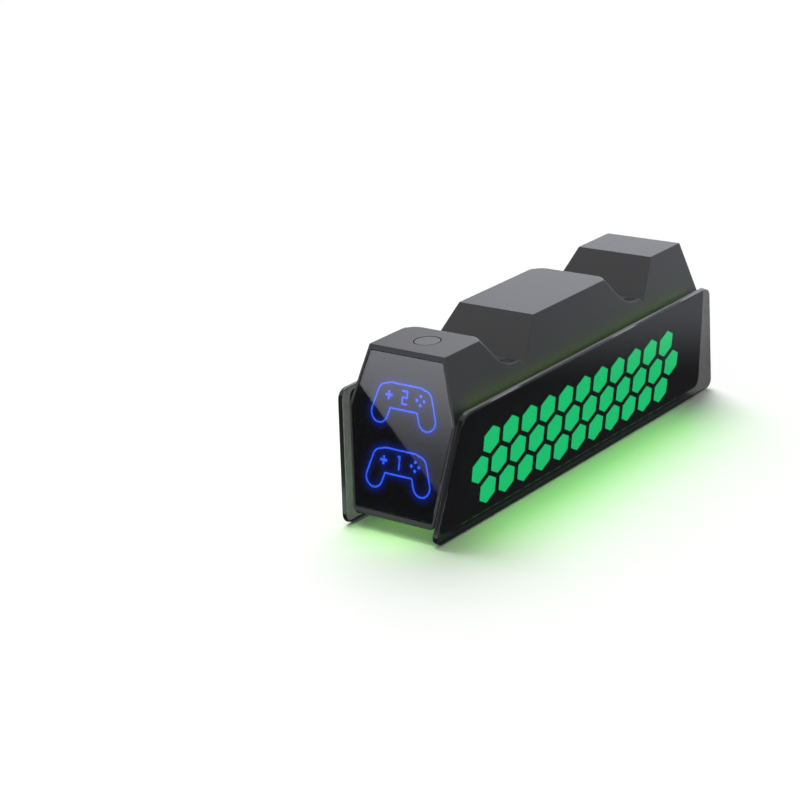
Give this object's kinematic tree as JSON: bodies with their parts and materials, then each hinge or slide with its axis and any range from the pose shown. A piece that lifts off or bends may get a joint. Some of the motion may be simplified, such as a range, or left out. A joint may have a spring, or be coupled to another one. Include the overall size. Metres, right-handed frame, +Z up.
{
  "type": "controller charging dock",
  "caption": "Long six-sided charging dock with saddle troughs for gamepads, a glossy front window with lit pictures, smoked side panels over a green honeycomb light, and a push button on top.",
  "frame": {"origin": "centre of the footprint on the floor", "axes": "+Z up; the lit front window faces -Y; the length runs along Y and the width along X"},
  "size_m": [0.0706, 0.2278, 0.08],
  "materials": {
    "matt_abs": "fine matt grain",
    "black_plastic": "plain",
    "smoked_acrylic": "polished, smoke tint",
    "lens_acrylic": "polished, dark tint",
    "printed_mask": "black print",
    "green_light_guide": "clear acrylic, lit green",
    "blue_light_guide": "clear acrylic, lit blue",
    "white_plastic": "plain",
    "circuit_board": "solder mask",
    "green_lamps": "lamp strip, lit green",
    "blue_lamps": "lamps, lit blue",
    "rubber": "matt",
    "gold_plated_brass": "gold plate",
    "steel": "zinc plate",
    "ferrite": "plain",
    "flat_cable": "plain"
  },
  "bodies": {
    "dock": {"board_screws": "steel", "button_board": "circuit_board", "button_board_screws": "steel", "button_cable": "flat_cable", "cable_plugs": "white_plastic", "capacitors": "ferrite", "case_screws": "steel", "charge_chips": "black_plastic", "display_cable": "flat_cable", "front_contact_block": "black_plastic", "front_contact_board": "circuit_board", "front_contact_cable": "flat_cable", "front_lens": "lens_acrylic", "front_pin_sleeves": "gold_plated_brass", "front_seat_pads": "rubber", "icon_board": "circuit_board", "icon_lamps": "blue_lamps", "icon_light_box": "white_plastic", "icon_light_guide": "blue_light_guide", "icon_mask": "printed_mask", "inlet_shell": "steel", "inlet_tongue": "black_plastic", "left_edge_strip": "green_lamps", "left_foot_rail": "matt_abs", "left_foot_sole": "rubber", "left_glow_strip": "green_lamps", "left_honeycomb_mask": "printed_mask", "left_light_guide": "green_light_guide", "left_side_panel": "smoked_acrylic", "lower_housing": "matt_abs", "main_board": "circuit_board", "power_inductors": "ferrite", "rear_contact_block": "black_plastic", "rear_contact_board": "circuit_board", "rear_contact_cable": "flat_cable", "rear_pin_sleeves": "gold_plated_brass", "rear_seat_pads": "rubber", "right_edge_strip": "green_lamps", "right_foot_rail": "matt_abs", "right_foot_sole": "rubber", "right_glow_strip": "green_lamps", "right_honeycomb_mask": "printed_mask", "right_light_guide": "green_light_guide", "right_side_panel": "smoked_acrylic", "tact_switch": "black_plastic", "upper_housing": "matt_abs"},
    "button": {"power_button": "matt_abs"},
    "front_left_pin": {"front_contact_pin_left": "gold_plated_brass"},
    "front_right_pin": {"front_contact_pin_right": "gold_plated_brass"},
    "rear_left_pin": {"rear_contact_pin_left": "gold_plated_brass"},
    "rear_right_pin": {"rear_contact_pin_right": "gold_plated_brass"}
  },
  "joints": [
    {"name": "button_press", "type": "slide", "parent": "dock", "child": "button", "axis": [0, 0, -1], "range_m": [0, 0.0006], "stiffness_N_per_m": 2500},
    {"name": "front_left_pin_press", "type": "slide", "parent": "dock", "child": "front_left_pin", "axis": [0, -0.7986, -0.6018], "range_m": [0, 0.001], "stiffness_N_per_m": 800},
    {"name": "front_right_pin_press", "type": "slide", "parent": "dock", "child": "front_right_pin", "axis": [0, -0.7986, -0.6018], "range_m": [0, 0.001], "stiffness_N_per_m": 800},
    {"name": "rear_left_pin_press", "type": "slide", "parent": "dock", "child": "rear_left_pin", "axis": [0, -0.7986, -0.6018], "range_m": [0, 0.001], "stiffness_N_per_m": 800},
    {"name": "rear_right_pin_press", "type": "slide", "parent": "dock", "child": "rear_right_pin", "axis": [0, -0.7986, -0.6018], "range_m": [0, 0.001], "stiffness_N_per_m": 800}
  ]
}
